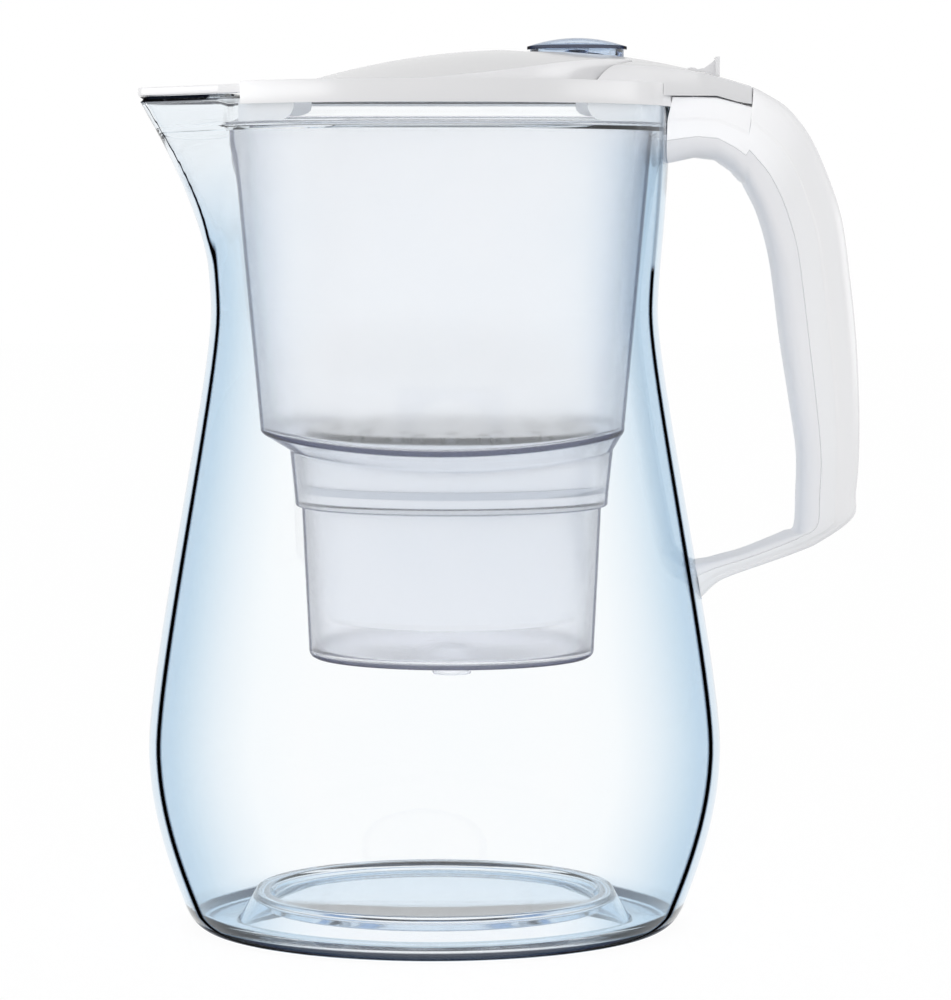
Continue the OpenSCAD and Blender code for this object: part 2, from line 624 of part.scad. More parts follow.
module lid_frame() {
  ear_r = mouth_in_r - gap - 0.1;
  color(white) {
    difference() {
      union() {
        // deck, thick where it rests on the jug, with the rim hanging round it
        translate([0, 0, jug_h]) cylinder(r = rim_r, h = deck_top - jug_h);
        translate([0, 0, deck_top - rim_h]) cylinder(r = rim_r, h = rim_h);
      }
      translate([0, 0, jug_h - big]) cylinder(r = rim_in_r, h = big);
      translate([0, 0, deck_low - big]) cylinder(r = ear_r - ear_t, h = big);
      translate([-lid_front - big, -big / 2, 0]) cube([big, big, big]);
      translate([0, 0, deck_low - over]) linear_extrude(big) intersection() {
        hatch_plan(-5, hinge_x);
        translate([-big / 2, -big / 2]) square([big / 2 + rim_r - 9, big]);
      }
    }
    // ears inside the jug's mouth, on the hopper's flange
    intersection() {
      translate([0, 0, ledge_z]) difference() {
        cylinder(r = ear_r, h = ledge_drop - 0.02);
        translate([0, 0, -over]) cylinder(r = ear_r - ear_t, h = big);
      }
      union() {
        ear(-lid_front, -40.8, false, true);
        ear(45.7, big / 2, true, false);
      }
    }
    translate([0, 0, jug_h - 0.02]) linear_extrude(deck_low - jug_h + 0.5) intersection() {
      difference() {
        circle(r = ear_r);
        circle(r = ear_r - ear_t);
      }
      translate([-lid_front, -big / 2]) square([big, big]);
    }
    // wings beside the flap, which carry its pin
    difference() {
      translate([0, 0, flap_z]) linear_extrude(flap_t) intersection() {
        lip_plan(0);
        for (s = [-1, 1]) translate([-lid_front - 8, s > 0 ? flap_half_w + gap : -flap_half_w - gap - big])
          square([8.2, big]);
      }
      flap_bore(flap_pin_r, 2 * flap_half_w + 6);
    }
  }
}

module flap_bore(r, len) {
  translate([flap_pin_x, 0, flap_pin_z]) rotate([90, 0, 0]) cylinder(r = r, h = len, center = true);
}

module spout_flap() {
  color(white) difference() {
    union() {
      translate([0, 0, flap_z]) linear_extrude(flap_t) difference() {
        intersection() {
          lip_plan(0.3);
          translate([-big, -big / 2]) square([big + flap_pin_x, big]);
        }
        for (s = [-1, 1]) translate([-lid_front - 8 - gap, s > 0 ? flap_half_w : -flap_half_w - big]) square([10, big]);
      }
      flap_bore(flap_t / 2, 2 * flap_half_w);
    }
    flap_bore(flap_pin_r + pin_fit, 3 * flap_half_w);
  }
}

module flap_pin() {
  color("silver") flap_bore(flap_pin_r, 2 * flap_half_w + 5);
}

// ---- Hatch and tail ----

module across(x, z, r, len) {
  translate([x, 0, z]) rotate([90, 0, 0]) cylinder(r = r, h = len, center = true);
}

seat_top = dome_top - 1.2;
module hatch() {
  color(white) difference() {
    union() {
      difference() {
        intersection() {
          dome(0);
          translate([0, 0, hatch_z]) linear_extrude(big / 4) hatch_plan(0, hinge_x);
        }
        intersection() {
          dome(shell_t);
          translate([0, 0, hatch_z - over]) linear_extrude(big / 4) hatch_plan(-shell_t, hinge_x - barrel_r - 1);
        }
      }
      across(hinge_x, hinge_z, barrel_r, 2 * hinge_half_w);
      // cup that holds the dial
      intersection() {
        dome(0.5);
        translate([dial_x, 0, dial_seat_z - 2]) cylinder(r = dial_r + 1.6, h = 20);
      }
      // thumb tab behind the hinge, with its gusset
      translate([hinge_x, -tab_w / 2, hinge_z - 1]) cube([9, tab_w, 2]);
      translate([hinge_x + 7.8, -tab_w / 2, hinge_z - 1]) cube([1.2, tab_w, tab_h + 1]);
      translate([hinge_x, 0.6, hinge_z]) rotate([90, 0, 0]) linear_extrude(1.2)
        polygon([[1, 2.6], [4.4, 3.2], [6.4, 4.6], [8.4, tab_h - 0.3], [8.4, 0], [1, 0]]);
    }
    // the dome is cut flat round the dial
    translate([dial_x, 0, seat_top]) cylinder(r = dial_r + 9.5, h = 20);
    translate([dial_x, 0, dial_seat_z]) cylinder(r = dial_r - 0.2, h = 20);
    translate([dial_x, 0, 0]) cylinder(r = spindle_r + 0.3, h = big);
    across(hinge_x, hinge_z, hinge_pin_r + pin_fit, 3 * hinge_half_w);
  }
}

module hatch_pin() {
  color("silver") across(hinge_x, hinge_z, hinge_pin_r, 2 * hinge_half_w + 8.6);
}

tail_half_end = root_w / 2;
tail_out = hatch_gap + tail_side;
tail_rear = [hinge_x + tail_out * tail_edge[0], hinge_half_w + tail_out * tail_edge[1]];
function tail_y(x) = tail_rear[1] + (tail_rear[0] - x) * tail_edge[0] / tail_edge[1];
module tail_plan(inset) {
  polygon([for (s = [-1, 1]) for (q = s < 0 ? [0, 1, 2] : [2, 1, 0])
    q == 0 ? [tail_front, s * (tail_y(tail_front) - inset)]
      : q == 1 ? [tail_rear[0], s * (tail_rear[1] - inset)] : [tail_end - inset, s * (tail_half_end - inset)]]);
}

module lid_tail() {
  nose = 13;
  nose_x = tail_front + nose - 0.9;
  color(white) difference() {
    intersection() {
      dome(0);
      translate([0, 0, root_top - 4]) linear_extrude(big / 4) tail_plan(0);
      // its lower edge follows the handle
      translate([0, big / 2, 0]) rotate([90, 0, 0]) linear_extrude(big)
        polygon([[0, root_top + 0.3], [0, big], [tail_end, big], [tail_end, root_top - 2.2],
          [te - 4.5, root_top - 1.5], [te - 10.7, root_top + 0.3]]);
    }
    // round noses at the front of its arms
    difference() {
      translate([0, -big / 2, 0]) cube([nose_x, big, big]);
      across(nose_x, deck_top - 6.6, nose, 2 * big);
    }
    // on the lid's deck in front, and behind the lid's rim at the rear
    translate([0, 0, deck_top - big]) cylinder(r = rim_r + 0.1, h = big);
    // round the hatch and its barrel
    translate([0, 0, deck_top - over]) linear_extrude(big / 4) hatch_plan(hatch_gap, hinge_x + 0.5);
    across(hinge_x, hinge_z, barrel_r + 0.4, 2 * (hinge_half_w + hatch_gap));
    // hollow underneath
    intersection() {
      dome(shell_t);
      linear_extrude(big) translate([waist_r - 9, -tail_half_end + shell_t])
        square([tail_end - waist_r + 9 - shell_t, 2 * (tail_half_end - shell_t)]);
      union() {
        translate([hinge_x + 4.5, -big / 2, 0]) cube([big, big, big]);
        translate([0, -big / 2, 0]) cube([big, big, hinge_z - 3]);
        translate([0, -hinge_half_w - hatch_gap, 0]) cube([big, 2 * (hinge_half_w + hatch_gap), big]);
      }
    }
    // slot for the thumb tab
    translate([hinge_x, -tab_w / 2 - 0.6, 0]) cube([11.4, tab_w + 1.2, big]);
    across(hinge_x, hinge_z, hinge_pin_r, 2 * hinge_half_w + 8.6);
  }
}

// ---- Dial ----

module dial_round(points) {
  translate([dial_x, 0, dial_rim]) rotate_extrude() polygon(points);
}
lens_r = (dial_r ^ 2 + lens_h ^ 2) / (2 * lens_h);
skirt_r = dial_r - 1;
spindle_low = dial_seat_z - 2 - 5.2;

module dial_cap() {
  color([0.55, 0.72, 0.9, 0.5]) translate([dial_x, 0, 0]) difference() {
    union() {
      intersection() {
        translate([0, 0, dial_rim + lens_h - lens_r]) sphere(r = lens_r, $fn = 200);
        translate([0, 0, dial_rim - dial_rim_t]) cylinder(r = dial_r, h = 20);
      }
      translate([0, 0, dial_seat_z + 0.3]) cylinder(r = skirt_r, h = 2.7);
    }
    difference() {
      intersection() {
        translate([0, 0, dial_rim + lens_h - lens_r]) sphere(r = lens_r - dial_wall, $fn = 200);
        translate([0, 0, dial_seat_z - over]) cylinder(r = skirt_r - dial_wall, h = 20);
      }
      // hub and pointer bar that stay under the lens
      translate([0, 0, dial_seat_z + 1.2]) cylinder(r = spindle_r + 1.3, h = 10);
      translate([0, -0.6, dial_seat_z + 1.2]) cube([skirt_r, 1.2, 10]);
    }
    translate([0, 0, dial_seat_z - over]) cylinder(r = spindle_r, h = over + 3.6);
  }
}

module dial_disc() {
  color("white") translate([dial_x, 0, dial_seat_z]) difference() {
    cylinder(r = skirt_r - dial_wall - 0.4, h = 0.9);
    translate([0, 0, -over]) cylinder(r = spindle_r + 0.3, h = 5);
  }
}

module dial_spindle() {
  color(white) translate([dial_x, 0, 0]) {
    translate([0, 0, spindle_low]) cylinder(r = spindle_r - 0.01, h = dial_seat_z + 2.6 - spindle_low);
    translate([0, 0, spindle_low - 1]) cylinder(r = spindle_r + 1.6, h = 1);
  }
}

module dial_spring() {
  color("silver") translate([dial_x, 0, spindle_low + 0.3]) difference() {
    cylinder(r1 = spindle_r + 1.8, r2 = spindle_r + 5, h = dial_seat_z - 2 - spindle_low - 0.3);
    translate([0, 0, -0.001]) cylinder(r1 = spindle_r + 0.9, r2 = spindle_r + 4.1, h = dial_seat_z - 2 - spindle_low - 0.3 + 0.002);
  }
}

jug_body();
handle_frame();
handle_grip();
handle_screws();
hopper();
cartridge_shell();
cartridge_cap();
upper_screen();
lower_screen();
filter_media();
cartridge_seal();
lid_frame();
lid_tail();
hatch();
hatch_pin();
spout_flap();
flap_pin();
dial_cap();
dial_disc();
dial_spindle();
dial_spring();
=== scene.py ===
import math
import bpy
import bmesh
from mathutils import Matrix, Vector


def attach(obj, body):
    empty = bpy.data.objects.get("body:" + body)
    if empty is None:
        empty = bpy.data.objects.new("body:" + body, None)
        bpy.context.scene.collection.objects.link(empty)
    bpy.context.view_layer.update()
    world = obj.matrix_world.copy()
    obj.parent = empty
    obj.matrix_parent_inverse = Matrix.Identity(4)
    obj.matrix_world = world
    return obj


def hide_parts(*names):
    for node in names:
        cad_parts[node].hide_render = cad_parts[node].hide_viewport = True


# Water filter pitcher with a flip lid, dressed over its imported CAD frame.
# Sizes are in millimetres, and mm turns them to Blender's metres.

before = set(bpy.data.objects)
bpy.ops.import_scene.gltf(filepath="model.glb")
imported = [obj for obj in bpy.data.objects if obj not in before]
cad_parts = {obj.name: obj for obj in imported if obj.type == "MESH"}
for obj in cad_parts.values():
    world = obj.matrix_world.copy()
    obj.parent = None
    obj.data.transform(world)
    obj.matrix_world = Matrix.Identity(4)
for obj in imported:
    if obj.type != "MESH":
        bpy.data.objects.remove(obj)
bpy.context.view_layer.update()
mm = 0.001
print("frame loaded")


# Tools

def deselectAll():
    if bpy.context.object and bpy.context.object.mode != "OBJECT":
        bpy.ops.object.mode_set(mode="OBJECT")
    for obj in bpy.context.selected_objects:
        obj.select_set(False)


def pick(obj):
    deselectAll()
    obj.select_set(True)
    bpy.context.view_layer.objects.active = obj


def editAll(obj):
    pick(obj)
    bpy.ops.object.mode_set(mode="EDIT")
    bpy.ops.mesh.select_all(action="SELECT")


def closeUp(obj, gap=0.002):
    # seams and poles are merged, then the faces are turned outwards
    editAll(obj)
    bpy.ops.mesh.remove_doubles(threshold=gap * mm)
    bpy.ops.mesh.normals_make_consistent(inside=False)
    if bmesh.from_edit_mesh(obj.data).calc_volume(signed=True) < 0:
        bpy.ops.mesh.flip_normals()  # a deep vessel can come out turned as a whole
    bpy.ops.object.mode_set(mode="OBJECT")


def smoothShade(obj, angle=30):
    pick(obj)
    bpy.ops.object.shade_smooth_by_angle(angle=math.radians(angle))


def applyAll(obj):
    pick(obj)
    for modifier in list(obj.modifiers):
        bpy.ops.object.modifier_apply(modifier=modifier.name)


def bevelEdges(obj, width, segments=3, angle=30):
    bevel = obj.modifiers.new("bevel", "BEVEL")
    bevel.width = width * mm
    bevel.segments = segments
    bevel.limit_method = "ANGLE"
    bevel.angle_limit = math.radians(angle)
    applyAll(obj)


def curvePoints(a, b, c, d, steps):
    # a cubic curve from a to d, with b and c as its handles
    points = []
    for i in range(steps + 1):
        t = i / steps
        k = [(1 - t) ** 3, 3 * t * (1 - t) ** 2, 3 * t * t * (1 - t), t ** 3]
        points.append(tuple(sum(k[n] * p[axis] for n, p in enumerate((a, b, c, d))) for axis in (0, 1)))
    return points


def roundCorners(corners, steps=4):
    # each corner is (across, height, radius), and a radius turns it into an arc
    points = []
    for i, corner in enumerate(corners):
        here = Vector(corner[:2])
        radius = corner[2] if len(corner) > 2 else 0
        if not radius or i in (0, len(corners) - 1):
            points.append(tuple(here))
            continue
        back = (Vector(corners[i - 1][:2]) - here).normalized()
        ahead = (Vector(corners[i + 1][:2]) - here).normalized()
        half = back.angle(ahead) / 2
        if half > math.radians(89):
            points.append(tuple(here))
            continue
        start = here + back * radius / math.tan(half)
        centre = here + (back + ahead).normalized() * radius / math.sin(half)
        arm = start - centre
        sweep = math.pi - 2 * half
        if arm.x * ahead.y - arm.y * ahead.x < 0:
            sweep = -sweep
        for k in range(steps + 1):
            q = sweep * k / steps
            points.append((centre.x + arm.x * math.cos(q) - arm.y * math.sin(q),
                           centre.y + arm.x * math.sin(q) + arm.y * math.cos(q)))
    return points


def spinOutline(name, points, steps, centre=0.0):
    # one vertex is extruded along the outline, which is then spun round an upright axis
    deselectAll()
    bpy.ops.mesh.primitive_plane_add(size=mm, location=(0, 0, 0))
    obj = bpy.context.object
    obj.name = name
    bpy.ops.object.mode_set(mode="EDIT")
    bpy.ops.mesh.select_all(action="SELECT")
    bpy.ops.mesh.merge(type="CENTER")
    bpy.ops.transform.translate(value=((points[0][0] + centre) * mm, 0, points[0][1] * mm))
    for a, b in zip(points, points[1:]):
        move = ((b[0] - a[0]) * mm, 0, (b[1] - a[1]) * mm)
        bpy.ops.mesh.extrude_vertices_move(TRANSFORM_OT_translate={"value": move})
    bpy.ops.mesh.select_all(action="SELECT")
    bpy.ops.mesh.spin(steps=steps, angle=2 * math.pi, center=(centre * mm, 0, 0), axis=(0, 0, 1))
    closeUp(obj)
    return obj


def wrapGrid(name, around, along, place):
    # a flat grid is wrapped round and along a piece: place(u, v) gives each point, with u and v from 0 to 1
    deselectAll()
    bpy.ops.mesh.primitive_grid_add(x_subdivisions=around, y_subdivisions=along, size=1)
    obj = bpy.context.object
    obj.name = name
    for vertex in obj.data.vertices:
        vertex.co = Vector(place(vertex.co.x + 0.5, vertex.co.y + 0.5)) * mm
    closeUp(obj)
    editAll(obj)
    bpy.ops.mesh.select_all(action="DESELECT")
    bpy.ops.mesh.select_non_manifold(extend=False)
    bpy.ops.mesh.edge_face_add()
    closeUp(obj)
    return obj


def addBox(name, low, high):
    deselectAll()
    bpy.ops.mesh.primitive_cube_add(size=1)
    obj = bpy.context.object
    obj.name = name
    for vertex in obj.data.vertices:
        vertex.co = Vector([(low[i] if vertex.co[i] < 0 else high[i]) * mm for i in range(3)])
    return obj


def cutWith(obj, cutter):
    cut = obj.modifiers.new("cut", "BOOLEAN")
    cut.operation = "DIFFERENCE"
    cut.solver = "EXACT"
    cut.object = cutter
    applyAll(obj)
    bpy.data.objects.remove(cutter)


def copyNode(name, node, edge, segments=3, angle=30):
    # a copy of a CAD solid with its facets merged and its edges rounded as a mould leaves them
    obj = bpy.data.objects.new(name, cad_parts[node].data.copy())
    bpy.context.scene.collection.objects.link(obj)
    obj.data.materials.clear()
    editAll(obj)
    bpy.ops.mesh.customdata_custom_splitnormals_clear()
    bpy.ops.mesh.remove_doubles(threshold=0.001 * mm)
    bpy.ops.mesh.dissolve_limited(angle_limit=math.radians(0.4))
    bpy.ops.object.mode_set(mode="OBJECT")
    if edge:
        bevelEdges(obj, edge, segments, angle)
    smoothShade(obj)
    return obj


def markPoints(obj, name, rule):
    # an attribute of the mesh: rule(x, radius, height, outward) gives each point's value
    values = obj.data.attributes.new(name, "FLOAT", "POINT").data
    for vertex in obj.data.vertices:
        x, y, z = [v / mm for v in vertex.co]
        outward = vertex.normal.x * x + vertex.normal.y * y > 0
        values[vertex.index].value = float(rule(x, math.hypot(x, y), z, outward))


def dress(piece, body, slot, material, *nodes):
    piece.data.materials.clear()
    piece.data.materials.append(material)
    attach(piece, body)
    if nodes:
        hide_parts(*nodes)


# Materials

def toLinear(hexColour):
    values = [int(hexColour[i:i + 2], 16) / 255 for i in (1, 3, 5)]
    return [v / 12.92 if v <= 0.04045 else ((v + 0.055) / 1.055) ** 2.4 for v in values] + [1]


def addNode(tree, kind, settings=None, inputs=None):
    # each input is a value or another node's output, by the input's name or number
    node = tree.nodes.new(kind)
    for key, value in (settings or {}).items():
        setattr(node, key, value)
    for key, value in (inputs or {}).items():
        if hasattr(value, "links"):
            tree.links.new(value, node.inputs[key])
        else:
            node.inputs[key].default_value = value
    return node


def addRamp(tree, value, stops):
    node = addNode(tree, "ShaderNodeValToRGB", inputs={0: value})
    elements = node.color_ramp.elements
    for i, (place, tone) in enumerate(stops):
        stop = elements[i] if i < 2 else elements.new(place)
        stop.position, stop.color = place, toLinear(tone)
    return node.outputs[0]


def readMark(tree, name):
    return addNode(tree, "ShaderNodeAttribute", {"attribute_name": name}).outputs["Fac"]


def mixColour(tree, blend, share, a, b):
    settings = {"data_type": "RGBA", "blend_type": blend}
    return addNode(tree, "ShaderNodeMix", settings, {0: share, 6: a, 7: b}).outputs[2]


def newMaterial(name):
    material = bpy.data.materials.new(name)
    material.use_nodes = True
    material.node_tree.nodes.clear()
    return material, material.node_tree


def mouldedPlastic(name, colour, shade, rough, roughSpread, grain, bump, **extra):
    # a moulded skin: faint clouding in the colour, uneven gloss, and a fine texture of a real size
    material, tree = newMaterial(name)
    place = addNode(tree, "ShaderNodeTexCoord").outputs["Object"]
    cloud = addNode(tree, "ShaderNodeTexNoise", inputs={"Vector": place, "Scale": 1 / (40 * mm), "Detail": 3.0})
    fine = addNode(tree, "ShaderNodeTexNoise", inputs={"Vector": place, "Scale": 1 / (grain * mm), "Detail": 2.0})
    tint = addNode(tree, "ShaderNodeMix", {"data_type": "RGBA"},
                   {0: cloud.outputs["Fac"], 6: toLinear(colour), 7: toLinear(shade)})
    gloss = addNode(tree, "ShaderNodeMapRange", inputs={"Value": cloud.outputs["Fac"], "From Min": 0.3,
                    "From Max": 0.7, "To Min": rough - roughSpread, "To Max": rough + roughSpread})
    skin = addNode(tree, "ShaderNodeBump", inputs={"Height": fine.outputs["Fac"], "Strength": bump,
                                                   "Distance": 0.05 * mm})
    colour = tint.outputs[2]
    inputs = {"Roughness": gloss.outputs[0], "Normal": skin.outputs[0]}
    if extra.get("edgeTint"):
        # clear tinted plastic looks deeper where one looks along it
        facing = addNode(tree, "ShaderNodeLayerWeight", inputs={"Blend": 0.5}).outputs["Facing"]
        edge = addRamp(tree, facing, extra["edgeTint"])
        # painted shade: a dark tint goes where the piece marks "corner", in place of the dark that refraction shows
        # at thick corners and rims
        dark = readMark(tree, "corner")
        if extra.get("edgeLine"):
            # and painted shade in a thin dark line that follows the inner side of the wall, set by the angle of view
            # in place of what refraction shows there, as the marks "outline" and "shift" say
            edge = mixColour(tree, "MIX", readMark(tree, "pale"), edge, [1, 1, 1, 1])
            shifted = addNode(tree, "ShaderNodeMath", {"operation": "ADD"}, {0: facing, 1: readMark(tree, "shift")})
            line = addRamp(tree, shifted.outputs[0], extra["edgeLine"])
            line = addNode(tree, "ShaderNodeMath", {"operation": "MULTIPLY"}, {0: line, 1: readMark(tree, "outline")})
            dark = addNode(tree, "ShaderNodeMath", {"operation": "MAXIMUM"}, {0: dark, 1: line.outputs[0]}).outputs[0]
        colour = mixColour(tree, "MULTIPLY", 1.0, colour, edge)
        colour = mixColour(tree, "MIX", dark, colour, toLinear(extra["darkTint"]))
        # the painted shade also darkens the reflection, as dark tinted metal
        inputs.update({"Specular Tint": colour, "Metallic": dark})
    inputs["Base Color"] = colour
    inputs.update(extra.get("inputs", {}))
    shader = addNode(tree, "ShaderNodeBsdfPrincipled", inputs=inputs)
    out = addNode(tree, "ShaderNodeOutputMaterial", inputs={"Surface": shader.outputs[0]})
    if extra.get("absorb"):
        tone, density = extra["absorb"]
        inside = addNode(tree, "ShaderNodeVolumeAbsorption", inputs={"Color": toLinear(tone), "Density": density})
        tree.links.new(inside.outputs[0], out.inputs["Volume"])
    return material


# tinted SAN, polished mould: clear, with a pale blue that gathers where one looks along the wall. Its dark line along
# the wall's inner side and its dark foot and spout rim are painted shade.
clearSan = mouldedPlastic("tintedSan", "#FFFFFF", "#FCFEFF", 0.012, 0.006, 6, 0.02,
                          inputs={"Transmission Weight": 1.0, "IOR": 1.57}, absorb=("#78B4DA", 4.0),
                          edgeTint=[(0.12, "#FFFFFF"), (0.95, "#9FC0DC"), (0.24, "#FCFEFF"), (0.38, "#EBF3F9"),
                                    (0.55, "#CDE0EE"), (0.70, "#B0CDE4")],
                          edgeLine=[(0.70, "#000000"), (0.795, "#000000"), (0.73, "#FFFFFF"), (0.765, "#FFFFFF")],
                          darkTint="#0A1430")
# gloss white ABS: an even white with soft wide highlights
whiteAbs = mouldedPlastic("whiteAbs", "#F4F4F5", "#F1F1F3", 0.22, 0.04, 0.9, 0.06, inputs={"IOR": 1.53})
# satin white ABS, for the strip that the fingers hold
satinAbs = mouldedPlastic("satinAbs", "#F2F2F4", "#EEEEF1", 0.38, 0.05, 0.6, 0.12, inputs={"IOR": 1.53})
# frosted polypropylene: milky, passes light but blurs what is behind it. Its dark outline and dark bands are painted
# shade, and the slate at its edges is partly its tint and partly painted shade.
frostedPp = mouldedPlastic("frostedPp", "#FEFEFF", "#FBFCFE", 0.17, 0.03, 0.7, 0.10,
                           inputs={"Transmission Weight": 0.97, "IOR": 1.49}, absorb=("#8C94B8", 3.0),
                          edgeTint=[(0.3, "#FFFFFF"), (1.0, "#8A90AC"), (0.60, "#F8F9FC"), (0.80, "#D5D8E4")],
                          edgeLine=[(0.78, "#000000"), (0.96, "#000000"), (0.83, "#FFFFFF"), (0.90, "#FFFFFF")],
                          darkTint="#3A4062")
# clear polypropylene, for the cartridge's cap
clearPp = mouldedPlastic("clearPp", "#FEFEFF", "#FBFCFE", 0.06, 0.02, 0.7, 0.05,
                         inputs={"Transmission Weight": 0.98, "IOR": 1.49})
whitePp = mouldedPlastic("whitePp", "#FDFDFE", "#FAFBFC", 0.40, 0.05, 0.7, 0.12, inputs={"IOR": 1.49})
screenMesh = mouldedPlastic("nylonMesh", "#C9CCD2", "#A9ADB5", 0.5, 0.08, 0.5, 0.6, inputs={"IOR": 1.53})
carbonBed = mouldedPlastic("carbonGranules", "#2B2B2E", "#55555A", 0.8, 0.1, 0.9, 1.0, inputs={"IOR": 1.5})
siliconeSeal = mouldedPlastic("siliconeSeal", "#DADDE2", "#D0D4DA", 0.45, 0.05, 0.8, 0.1, inputs={"IOR": 1.41})
steelWire = mouldedPlastic("brushedSteel", "#B9BBBF", "#A4A7AC", 0.28, 0.06, 0.4, 0.2, inputs={"Metallic": 1.0})
# clear blue PC, polished: the dial's lens cap. Its dark line and dark rim are painted shade.
blueLens = mouldedPlastic("bluePolycarbonate", "#FFFFFF", "#F7FBFF", 0.02, 0.01, 4, 0.02,
                          inputs={"Transmission Weight": 1.0, "IOR": 1.585}, absorb=("#3F86D2", 30.0),
                          edgeTint=[(0.0, "#FFFFFF"), (1.0, "#5C86B8"), (0.50, "#F2F8FD"), (0.75, "#CFE2F3")],
                          edgeLine=[(0.76, "#000000"), (1.0, "#FFFFFF"), (0.84, "#FFFFFF")],
                          darkTint="#0E1A3E")
dialWhite = mouldedPlastic("whitePom", "#F2F3F4", "#ECEDEF", 0.35, 0.05, 0.7, 0.1, inputs={"IOR": 1.48})
print("materials made")


# Jug

jug = {
    "height": 258.8, "wall": 2.4, "mouth": 73.3, "mouthInner": 71.5, "ledge": 248.9, "ledgeInner": 70.1,
    "waist": (69.7, 192), "bulge": (89.6, 56), "corner": (78.4, 6.5), "foot": 71.5, "footInner": 60.6,
    "ringIn": 51.8, "ringHigh": 11.5, "floor": 8.5,
    "spoutLow": 205, "spoutOut": 19.2, "spoutNose": 8, "spoutFlare": 1.65, "spoutSector": 66,
    # dark is the height span of the painted dark band round the foot
    "dark": (0.6, 3.1), "curveSteps": 22, "steps": 240,
    # how its painted shade is set: the dark corners, the painted dark outline beside the root, and the slant and
    # depth of that outline
    "paintedShadeShare": 0.9, "rimMark": 1.7, "rootOutline": 0.45, "lineSlant": 0.75, "lineDepth": 2.6, "noseMargin": 0.12,
    # start, length and share of the paler part of the spout, and of the mouth on the other side
    "paleSpout": (215, 40, 0.6), "paleMouth": (240, 10, 0.5),
}


def bodySide(steps=40):
    # the outer side, from the foot's edge up to the mouth
    corner, bulge, waist, mouth = jug["corner"], jug["bulge"], jug["waist"], (jug["mouth"], jug["height"])
    foot = (jug["foot"], 0)
    parts = [
        curvePoints(foot, (foot[0] + 3.5, 0), (corner[0] - 1, 4), corner, 12),
        curvePoints(corner, (corner[0] + 6, 21.5), (bulge[0], bulge[1] - 18), bulge, steps),
        curvePoints(bulge, (bulge[0], bulge[1] + 25), (waist[0], waist[1] - 20), waist, steps),
        curvePoints(waist, (waist[0], waist[1] + 14), (mouth[0] - 0.1, waist[1] + 33), mouth, steps),
    ]
    return parts[0] + [p for part in parts[1:] for p in part[1:]]


fullSide = bodySide(60)


def bodyRadius(z):
    if z <= 0:
        return fullSide[0][0]
    for a, b in zip(fullSide, fullSide[1:]):
        if a[1] <= z <= b[1]:
            return a[0] + (b[0] - a[0]) * (z - a[1]) / max(b[1] - a[1], 1e-9)
    return fullSide[-1][0]


def spoutNose(z, inset):
    # the nose's radius and its distance from the axis
    flare = max(0, (z - jug["spoutLow"]) / (jug["height"] - jug["spoutLow"]))
    out = jug["spoutOut"] * flare ** jug["spoutFlare"]
    noseR = jug["spoutNose"] + (jug["mouth"] - jug["spoutNose"]) * (1 - flare) ** 1.5 - inset
    noseR = min(bodyRadius(z) - inset, noseR)
    return noseR, bodyRadius(z) + out - 0.05 - inset - noseR


def spoutRadius(z, angle, inset):
    # two joined circles seen from above: the body round the axis and the nose at distance d
    bodyR = bodyRadius(z) - inset
    noseR, d = spoutNose(z, inset)
    side = math.acos(min(1, (bodyR - noseR) / max(d, bodyR - noseR, 0.01)))
    nose = math.atan2(noseR * math.sin(side), d + noseR * math.cos(side))
    q = abs(angle)
    if q < nose:
        return d * math.cos(q) + math.sqrt(max(0, noseR ** 2 - (d * math.sin(q)) ** 2))
    return bodyR / math.cos(q - side) if q < side else bodyR


def jugPaintedShade(x, r, z, outward):
    # painted shade: a dark band round the foot's outer edge and along the top of the spout's rim
    low, high = jug["dark"]
    foot = outward and low < z < high and r > jug["foot"]
    spoutRim = z > jug["height"] - jug["rimMark"] and r > jug["mouth"] + 1
    return jug["paintedShadeShare"] * (foot or spoutRim)


def jugOutline(x, r, z, outward):
    # the strength of the painted dark line, fainter beside the handle's root
    return (outward and r > jug["foot"] - 4) * (jug["rootOutline"] if x > 0 and z > jug["spoutLow"] else 1)


def jugPale(x, r, z, outward):
    start, length, most = jug["paleSpout"] if x < 0 else jug["paleMouth"]
    return min(most, max(0, (z - start) / length))


def jugShift(x, r, z, outward):
    # where the painted dark line sits: the spout's nose is bent tighter than the body, so the wall's inner side shows
    # at another slant
    if not outward or z < jug["spoutLow"] or r < bodyRadius(z) + 0.5:
        return 0
    noseR, d = spoutNose(z, 0)
    side = math.acos(min(1, (bodyRadius(z) - noseR) / max(d, 0.01)))
    share = min(1, max(0, (-x - d - noseR * math.cos(side) + 0.6) / 1.2))
    slant = 1 - math.sqrt(1 - (1 - jug["lineDepth"] / noseR) ** 2)
    return share * max(0, jug["lineSlant"] - max(slant, 1 + jug["noseMargin"] - math.sin(side)))


